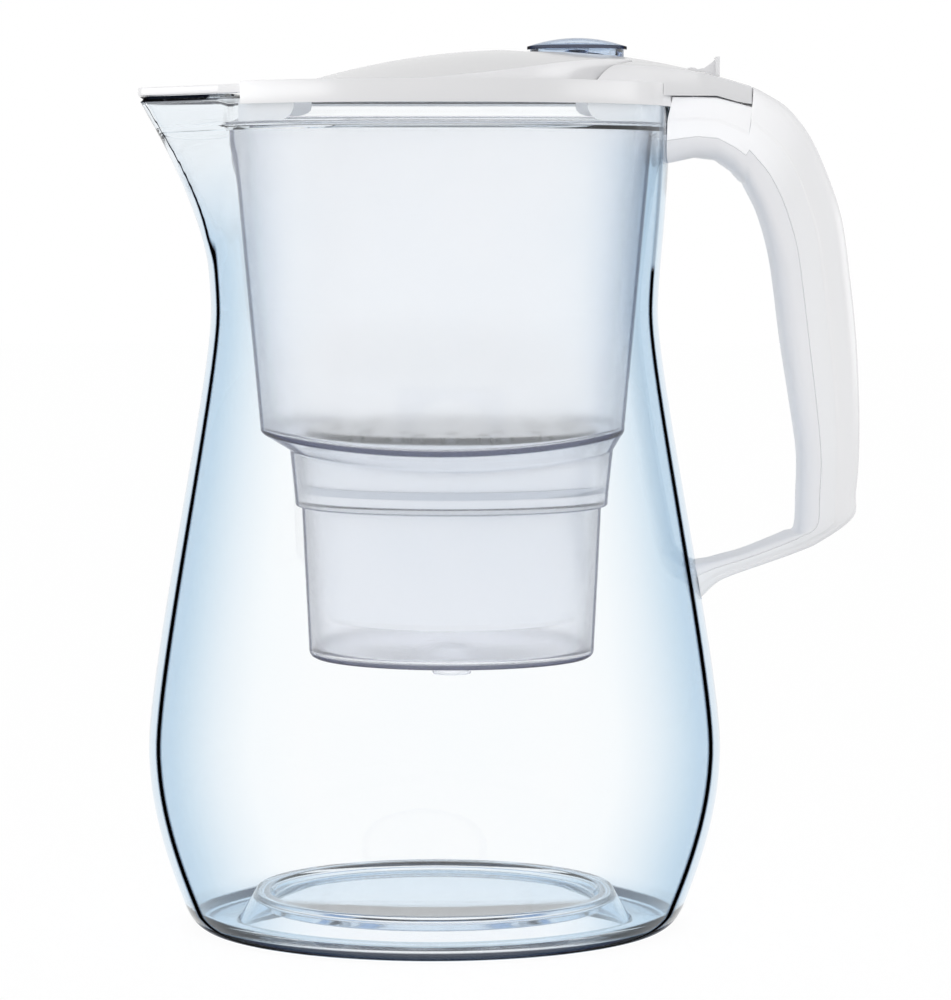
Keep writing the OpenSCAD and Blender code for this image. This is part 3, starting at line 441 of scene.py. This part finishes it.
def makeJug():
    side = bodySide(jug["curveSteps"])
    wall = jug["wall"]
    ringIn, ringHigh, floor = jug["ringIn"], jug["ringHigh"], jug["floor"]
    top = jug["height"]
    innerFoot = roundCorners([(0, floor), (ringIn - 1.4, floor, 0.8), (ringIn + 0.2, ringHigh, 0.7),
                              (ringIn + 4.4, ringHigh, 0.8), (jug["footInner"] + 1, wall + 0.2, 1.2),
                              (75.4, wall + 0.2, 9), (81.4, 20)], 8)[:-1]
    innerSide = [(x - wall, z) for x, z in side if 20 < z < jug["ledge"] - 16]
    innerTop = roundCorners([innerSide[-1], (jug["ledgeInner"], jug["ledge"] - 8, 6),
                             (jug["ledgeInner"], jug["ledge"], 0.5), (jug["mouthInner"], jug["ledge"], 0.3),
                             (jug["mouthInner"], top - 2.2), (jug["mouthInner"], top - 1.6),
                             (jug["mouthInner"], top, 0.6), (jug["mouth"], top, 0.6),
                             (jug["mouth"] - 0.03, top - 1.6), (jug["mouth"] - 0.05, top - 2.2)])[1:]
    outerSide = [p for p in reversed(side) if p[1] < top - 2.6]
    under = roundCorners([outerSide[-1], (jug["footInner"], 0, 1.2), (ringIn + 3.2, ringHigh - wall, 1.2),
                          (ringIn + 1.4, ringHigh - wall, 0.8), (ringIn, floor - wall, 0.8), (0, floor - wall)])[1:]
    piece = spinOutline("jug", innerFoot + innerSide + innerTop + outerSide + under, jug["steps"])
    sector = math.radians(jug["spoutSector"])
    for vertex in piece.data.vertices:
        x, y, z = [v / mm for v in vertex.co]
        r = math.hypot(x, y)
        angle = math.atan2(-y, -x)  # from the spout's direction, -X
        if r < 1 or abs(angle) >= sector:
            continue
        angle = math.copysign(sector * (abs(angle) / sector) ** 1.5, angle)
        if z > jug["spoutLow"] - 3 and r > 60:
            inset = bodyRadius(z) - r
            if z > jug["ledge"] - 0.4:
                inset *= wall / (jug["mouth"] - jug["mouthInner"])  # the step ends beside the spout
            out = spoutRadius(z, angle, min(wall, inset))
            ease = min(1, (sector - abs(angle)) / math.radians(4))
            if out > r:
                if abs(z - jug["ledge"]) < 0.6:
                    z += (r - jug["ledgeInner"] - 0.7) * ease  # the step's points are spread up the wall
                r += (out - r) * ease
        vertex.co = (-r * math.cos(angle) * mm, -r * math.sin(angle) * mm, z * mm)
    smoothShade(piece, 40)
    # the marks set where the painted shade goes, and where the edge tint turns pale
    for name, rule in (("corner", jugPaintedShade), ("outline", jugOutline), ("pale", jugPale), ("shift", jugShift)):
        markPoints(piece, name, rule)
    # lugs for the handle, moulded on the wall
    rootLug = addBox("rootLug", (72.6, -11.8, 249.1), (81.7, 11.8, 255.9))
    bevelEdges(rootLug, 0.5, 2)
    footLug = addBox("footLug", (82.0, -5, 107.2), (85.6, 5, 110.8))
    bevelEdges(footLug, 0.5, 2)
    for lug in (rootLug, footLug):
        smoothShade(lug)
        dress(lug, "jug", "clear_tint", clearSan)
    dress(piece, "jug", "clear_tint", clearSan, "jug_body")


makeJug()
print("jug made")


# Handle

handle = {
    "share": 0.66, "wall": 2.2, "corner": 5.0, "ridge": 0.36, "ridgeIn": 1.5, "seat": 0.2,
    "rootCorner": 0.8, "rootTaper": 0.65,
    "rimR": 74.8, "rimLow": 255.2, "steps": 6,
    # outer x, outer z, inner x, inner z, half width, roof thickness
    "root": [(71.5, 258.5, 71.5, 238.2, 15, 2.2), (80.8, 258.5, 81.2, 240.1, 15, 2.2),
             (87.1, 258.3, 87.7, 239.3, 15, 2.2), (93.3, 256.7, 92.7, 235.8, 15, 2.2),
             (98.0, 255.3, 95.2, 232.9, 15, 2.2)],
    "grip": [(98.55, 261.6, 96.3, 232.3, 15, 7.6), (102.1, 259.8, 97.3, 230.2, 15, 4),
             (109.5, 255, 100.3, 224.3, 14.7, 2.2), (116.5, 246, 102.5, 218, 14.3, 2.2),
             (122, 234, 104.1, 211.9, 14, 2.2), (126.3, 220.8, 105.2, 206.2, 13.8, 2.2),
             (128.8, 204, 106.3, 198.3, 13.5, 2.2), (130.9, 185, 108.3, 182.8, 13.5, 2.2),
             (132, 165, 111.3, 164, 13.5, 2.2), (132.1, 148, 113.6, 148, 13.5, 2.2),
             (131.2, 136, 113.5, 134.5, 13.2, 2.2), (130.4, 128.3, 112.9, 124.6, 12.9, 2.2),
             (120.5, 121, 109.9, 122.9, 12.3, 2.2), (113, 117.5, 106.1, 121.2, 11.5, 2.2),
             (98.9, 112.5, 96.9, 117.5, 11, 1.8), (92, 110, 90.1, 115.6, 11, 1.8),
             (87.6, 107.7, 85.8, 114.5, 11, 1.8), (82.5, 102.6, 80.5, 113.8, 11, 1.8)],
}


def splineValue(a, b, c, d, t):
    return 0.5 * (2 * b + (c - a) * t + (2 * a - 5 * b + 4 * c - d) * t ** 2 + (3 * b - a - 3 * c + d) * t ** 3)


def handleStations():
    grip, steps = handle["grip"], handle["steps"]
    last = len(grip) - 1
    smooth = []
    for i in range(last):
        near = [grip[max(0, i - 1)], grip[i], grip[i + 1], grip[min(last, i + 2)]]
        for k in range(steps):
            smooth.append(tuple(splineValue(*[s[n] for s in near], k / steps) for n in range(6)))
    return handle["root"] + smooth + [grip[-1]]


def seatOnJug(x, y, z):
    # a point of the handle's end is moved onto the jug's wall, or round the lid's rim
    r = handle["rimR"] if z > handle["rimLow"] else bodyRadius(z) + handle["seat"]
    return math.sqrt(r * r - y * y), y, z


def frameSection(station):
    # (depth from the outer side, across) round the outer shell, as corners with radii
    depth = math.hypot(station[2] - station[0], station[3] - station[1])
    half = station[4]
    edge = handle["share"] * depth
    ridge = handle["ridge"] * depth
    roof = min(station[5], edge - 1)
    root = station[0] < handle["grip"][0][0] and station[1] > handle["rimLow"]  # square under the lid's tail
    r = handle["rootCorner"] if root else min(handle["corner"], 0.4 * edge)
    taper = handle["rootTaper"] if root else handle["ridgeIn"] * min(1, depth / 18)
    wall = handle["wall"]
    right = [(edge, half - 0.2), (edge - 0.12, half - 0.05), (edge - 0.4, half), (ridge + 0.9, half),
             (ridge + 0.3, half - 0.1), (ridge - 0.2, half - 0.45), (ridge - 0.6, half - 0.6),
             (r * 0.9, half - taper)]
    arc = [(r - r * math.sin(q) * 0.999, half - taper - r * 0.72 + r * 0.72 * math.cos(q))
           for q in [math.radians(a) for a in (15, 30, 45, 60, 75, 90)]]
    outer = [p[:2] for p in right] + arc
    mirrored = [(a, -v) for a, v in reversed(outer)]
    inner = [(edge, wall - half), (roof, wall - half), (roof, half - wall), (edge, half - wall)]
    return outer + mirrored + inner, depth


def gripSection(station):
    depth = math.hypot(station[2] - station[0], station[3] - station[1])
    half = station[4] - 0.1
    edge = handle["share"] * depth + 0.02
    r = min(handle["corner"] + 0.5, depth - edge - 0.9)
    tongue = station[4] - handle["wall"] - 0.1
    lip = min(2, edge - station[5] - 0.3)
    right = [(edge, half - 0.25), (edge + 0.15, half - 0.06), (edge + 0.5, half)]
    arc = [(depth - r + r * math.sin(q), half - r + r * math.cos(q))
           for q in [math.radians(a) for a in (0, 12, 24, 36, 48, 60, 75, 90)]]
    mirrored = [(a, -v) for a, v in reversed(right + arc)]
    inner = [(edge, -tongue), (edge - lip, -tongue), (edge - lip, tongue), (edge, tongue)]
    return right + arc + mirrored + inner, depth


def makeHandlePart(name, section):
    stations = handleStations()
    rings = []
    for n, station in enumerate(stations):
        points, depth = section(station)
        ring = []
        for a, v in points:
            t = a / depth
            point = (station[0] + (station[2] - station[0]) * t, v, station[1] + (station[3] - station[1]) * t)
            ring.append(seatOnJug(*point) if n in (0, len(stations) - 1) else point)
        rings.append(ring)
    around = len(rings[0])
    along = len(rings) - 1
    piece = wrapGrid(name, around, along, lambda u, v: rings[round(v * along)][round(u * around) % around])
    return piece


def makeHandle():
    outer = makeHandlePart("handleShell", frameSection)
    cutWith(outer, addBox("tabPocket", (78.5, -6.2, 253.3), (91.1, 6.2, 270)))
    smoothShade(outer, 28)
    dress(outer, "jug", "white_shell", whiteAbs, "handle_frame")
    inner = makeHandlePart("handleStrip", gripSection)
    smoothShade(inner, 28)
    dress(inner, "jug", "white_grip", satinAbs, "handle_grip")


makeHandle()
print("handle made")


# Hopper

hopper = {
    "centre": 2.5, "wellCentre": 5.3, "wall": 1.8, "flangeR": 71.2, "flangeTop": 250.1, "flangeLow": 248.9,
    "flangeFront": -63.2, "topR": 65.5, "cornerR": 56.4, "cornerZ": 150.4, "dishZ": 144.7, "wellTopR": 49.7,
    "stepZ": 131.5, "stepR": 48.8, "lowR": 46.9, "floorR": 44.7, "floorZ": 84, "nozzleR": 6.1, "nozzleZ": 78.5,
    # strengths of the painted dark outline and of the painted shade bands at the tub's corner, the floor and the step
    "outline": 0.7, "tubPaintedShade": 0.95, "floorPaintedShade": 0.9, "stepPaintedShade": 0.4, "steps": 200,
}


def hopperPaintedShade(x, r, z, outward):
    # painted shade: dark bands round the tub's lower corner, along the floor's edge and at the step
    h = hopper
    tub = r > h["cornerR"] - 1.5 and abs(z - h["cornerZ"]) < 0.9
    floor = r > h["floorR"] - 2 and h["floorZ"] + 0.1 < z < h["floorZ"] + 1.8
    step = r > h["lowR"] and abs(z - h["stepZ"]) < 0.3
    return outward * (h["tubPaintedShade"] if tub else h["floorPaintedShade"] if floor else h["stepPaintedShade"] * step)


def makeHopper():
    h = hopper
    w = h["wall"]
    outside = [(h["topR"], h["flangeLow"], 0.8), (61.0, 200, 0), (h["cornerR"] + 0.1, h["cornerZ"] + 1.5, 0),
               (h["cornerR"], h["cornerZ"], 2.2), (h["cornerR"] - 1.1, h["cornerZ"] - 1.1, 0),
               (h["wellTopR"] + 0.9, h["dishZ"], 1.2), (h["stepR"] + 0.4, h["stepZ"] + 5, 0),
               (h["stepR"], h["stepZ"], 0.9), (h["lowR"], h["stepZ"], 0.5), (h["lowR"] - 0.1, h["stepZ"] - 1.5, 0),
               (45.8, 109, 0), (h["floorR"], h["floorZ"] + 3.6, 0), (h["floorR"] - 0.1, h["floorZ"], 2.4),
               (h["nozzleR"] + 0.6, h["floorZ"], 0.8), (h["nozzleR"], h["nozzleZ"], 0.5),
               (h["nozzleR"] - 1.5, h["nozzleZ"], 0.4), (h["nozzleR"] - 1.5, h["floorZ"] + w, 0.4)]
    inside = [(h["floorR"] - w - 0.5, h["floorZ"] + w, 2.2), (h["floorR"] - w, h["floorZ"] + w + 3, 0),
              (h["lowR"] - w, h["stepZ"] + w, 0.6), (h["stepR"] - w, h["stepZ"] + w, 0.6),
              (h["wellTopR"] - w, h["dishZ"] + w, 1.0), (h["cornerR"] - w, h["cornerZ"] + w, 1.6),
              (59.2, 200, 0), (h["topR"] - w + 0.1, h["flangeTop"], 0.5)]
    flange = [(h["flangeR"], h["flangeTop"], 0.4), (h["flangeR"], h["flangeLow"], 0.4), (h["topR"], h["flangeLow"])]
    piece = spinOutline("hopperTub", roundCorners([flange[-1]] + outside[1:] + inside + flange), h["steps"])
    markPoints(piece, "corner", hopperPaintedShade)
    # painted shade: a dark outline down the tub's outer side, below the flange
    markPoints(piece, "outline", lambda x, r, z, outward:
               h["outline"] * (outward and z < h["flangeLow"] and r > h["floorR"] - 1))
    for vertex in piece.data.vertices:
        x, y, z = [v / mm for v in vertex.co]
        r = math.hypot(x, y)
        if z > 240 and r > h["topR"] + 2:
            vertex.co.x = max(vertex.co.x, h["flangeFront"] * mm)  # the flange's straight front
            continue
        # the tub's floor arches up towards the spout and the handle, and the well stands further back
        turn = min(1, max(0, (z - 144) / 7))
        turn = turn * turn * (3 - 2 * turn)
        centre = h["wellCentre"] + (h["centre"] - h["wellCentre"]) * turn
        arch = (5.6 + (4.4 - 5.6) * turn) * (x / 56.4) ** 2 if z > 143 else 0
        fade = 1 - min(1, max(0, (z - 156) / 30))
        lift = arch * fade * (1 if z > 143 else 0)
        slope = 0.0967 * lift * turn
        k = 1 + slope / max(r, 1)
        vertex.co = ((x * k + centre) * mm, y * k * mm, (z + lift) * mm)
    smoothShade(piece, 35)
    dress(piece, "hopper", "frosted", frostedPp, "hopper")


makeHopper()
print("hopper made")


# Lid, hatch, tail, flap and dial

# painted shade: its lens gets a dark line along its rim, and a fainter painted dark outline
dial = {"x": 44.35, "rimR": 14.9, "rimZ": 274.6, "rim": 0.9, "outline": 0.35}


def makeLid():
    for name, node, body, edge in (("lidRing", "lid_frame", "lid", 0.35), ("lidTail", "lid_tail", "lid", 0.35),
                                   ("lidHatch", "hatch", "hatch", 0.35),
                                   ("spoutFlap", "spout_flap", "spout_flap", 0.35)):
        piece = copyNode(name, node, edge)
        dress(piece, body, "white_shell", whiteAbs, node)
    lens = copyNode("dialLens", "dial_cap", 0.15, 2)
    # painted shade on the lens: a dark outline all over, and a dark band outside the rim's radius below its top
    markPoints(lens, "outline", lambda x, r, z, outward: dial["outline"])
    markPoints(lens, "corner", lambda x, r, z, outward: dial["rim"] * (
        math.hypot(x - dial["x"], math.sqrt(max(0, r * r - x * x))) > dial["rimR"] and z < dial["rimZ"]))
    dress(lens, "dial", "dial_blue", blueLens, "dial_cap")


makeLid()
print("lid made")


# CAD nodes that keep their shape

def finishNodes():
    finishes = {
        "handle_screws": steelWire, "cartridge_shell": whitePp, "cartridge_cap": clearPp, "upper_screen": screenMesh,
        "lower_screen": screenMesh, "filter_media": carbonBed, "cartridge_seal": siliconeSeal, "hatch_pin": steelWire,
        "flap_pin": steelWire, "dial_disc": dialWhite, "dial_spindle": dialWhite, "dial_spring": steelWire,
    }
    for node, material in finishes.items():
        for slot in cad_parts[node].material_slots:
            slot.material = material


finishNodes()


# Studio

studio = {
    "camera": (12.8, -1312.5, 222.2), "pitch": 3.882, "focal": 4200, "pictureHeight": 1000,
    "floorSize": 12000, "floorGlow": 0.9, "lightLevel": 0.56, "ceiling": (0.55, 0.75), "ceilingColour": "#8AAAD2",
}


def makeCamera():
    data = bpy.data.cameras.new("camera")
    data.sensor_width = 36
    data.lens = 36 * studio["focal"] / studio["pictureHeight"]
    data.clip_start = 0.01
    data.clip_end = 100
    camera = bpy.data.objects.new("camera", data)
    bpy.context.scene.collection.objects.link(camera)
    camera.location = Vector(studio["camera"]) * mm
    camera.rotation_euler = (math.radians(90 - studio["pitch"]), 0, 0)
    bpy.context.scene.camera = camera


def makeFloor():
    deselectAll()
    bpy.ops.mesh.primitive_plane_add(size=studio["floorSize"] * mm, location=(0, 0, -0.02 * mm))
    floor = bpy.context.object
    floor.name = "floor"
    material, tree = newMaterial("paperFloor")
    rays = addNode(tree, "ShaderNodeLightPath").outputs
    seen = addNode(tree, "ShaderNodeMath", {"operation": "ADD"}, {0: rays["Is Camera Ray"], 1: rays["Is Glossy Ray"]})
    seen = addNode(tree, "ShaderNodeMath", {"operation": "ADD", "use_clamp": True},
                   {0: seen.outputs[0], 1: rays["Is Transmission Ray"]})
    share = addNode(tree, "ShaderNodeMath", {"operation": "MULTIPLY"}, {0: seen.outputs[0], 1: studio["floorGlow"]})
    matt = addNode(tree, "ShaderNodeBsdfDiffuse", inputs={"Color": toLinear("#F4F4F4")})
    glow = addNode(tree, "ShaderNodeEmission", inputs={"Color": toLinear("#FFFFFF"), "Strength": 1.05})
    both = addNode(tree, "ShaderNodeMixShader", inputs={0: share.outputs[0], 1: matt.outputs[0], 2: glow.outputs[0]})
    addNode(tree, "ShaderNodeOutputMaterial", inputs={"Surface": both.outputs[0]})
    floor.data.materials.append(material)


def makeWorld():
    # a white tent: the camera, metal and glass see it white, and it lights the object a little less
    world = bpy.data.worlds.new("tent")
    bpy.context.scene.world = world
    world.use_nodes = True
    tree = world.node_tree
    tree.nodes.clear()
    rays = addNode(tree, "ShaderNodeLightPath").outputs
    seen = addNode(tree, "ShaderNodeMath", {"operation": "ADD"}, {0: rays["Is Camera Ray"], 1: rays["Is Glossy Ray"]})
    seen = addNode(tree, "ShaderNodeMath", {"operation": "ADD", "use_clamp": True},
                   {0: seen.outputs[0], 1: rays["Is Transmission Ray"]})
    level = addNode(tree, "ShaderNodeMix", {"data_type": "FLOAT"},
                    {0: seen.outputs[0], 2: studio["lightLevel"], 3: 1.0})
    # the ceiling is dark, and only clear plastic shows it
    up = addNode(tree, "ShaderNodeSeparateXYZ", inputs={0: addNode(tree, "ShaderNodeTexCoord").outputs["Generated"]})
    ceiling = addNode(tree, "ShaderNodeMapRange", inputs={"Value": up.outputs["Z"], "From Min": studio["ceiling"][0],
                      "From Max": studio["ceiling"][1]})
    dark = addNode(tree, "ShaderNodeMath", {"operation": "MULTIPLY"},
                   {0: ceiling.outputs[0], 1: rays["Is Transmission Ray"]})
    tone = addNode(tree, "ShaderNodeMix", {"data_type": "RGBA"},
                   {0: dark.outputs[0], 6: toLinear("#FFFFFF"), 7: toLinear(studio["ceilingColour"])})
    shader = addNode(tree, "ShaderNodeBackground", inputs={"Color": tone.outputs[2], "Strength": level.outputs[0]})
    addNode(tree, "ShaderNodeOutputWorld", inputs={"Surface": shader.outputs[0]})


def addSoftbox(name, parts, place, aim, size, power, mirrored=True):
    # it shines on some white parts alone, because the clear jug shows no such box
    data = bpy.data.lights.new(name, "AREA" if len(size) > 1 else "SPOT")
    if len(size) > 1:
        data.shape = "RECTANGLE"
        data.size, data.size_y = size[0] * mm, size[1] * mm
    else:
        data.spot_size, data.spot_blend = math.radians(size[0]), 1
    data.energy = power
    lamp = bpy.data.objects.new(name, data)
    bpy.context.scene.collection.objects.link(lamp)
    lamp.visible_camera = lamp.visible_transmission = False
    lamp.visible_glossy = mirrored
    lamp.light_linking.receiver_collection = bpy.data.collections.new(name)
    for part in parts:
        lamp.light_linking.receiver_collection.objects.link(bpy.data.objects[part])
    lamp.location = Vector(place) * mm
    lamp.rotation_euler = (Vector(aim) - Vector(place)).to_track_quat("-Z", "Y").to_euler()


lidParts = ["lidRing", "lidTail", "lidHatch", "spoutFlap"]
handleParts = ["handleShell", "handleStrip"]
makeCamera()
makeFloor()
makeWorld()
whiteParts = lidParts + handleParts
addSoftbox("leftBox", whiteParts, (-1180, -210, 330), (0, 0, 260), (1500, 350), 5.5)
addSoftbox("rightBox", whiteParts, (1195, -85, 330), (0, 0, 260), (1050, 350), 2.5)
addSoftbox("frontBox", whiteParts, (200, -1500, 500), (0, 0, 200), (1400, 900), 4.5, mirrored=False)
addSoftbox("handleBox", handleParts, (0, -1300, 100), (100, 0, 220), (700, 500), 3, mirrored=False)
addSoftbox("rootSpot", ["handleShell"], (90, -900, 150), (79, 0, 252), (5,), 6, mirrored=False)
bpy.context.scene.view_settings.view_transform = "Standard"
# light crosses the jug and the hopper twice each, so it needs room to bounce
bpy.context.scene.cycles.max_bounces = 32
bpy.context.scene.cycles.transmission_bounces = 32
bpy.context.scene.cycles.glossy_bounces = 16
bpy.context.scene.cycles.blur_glossy = 0  # the parts inside are lit through clear walls
print("studio made")
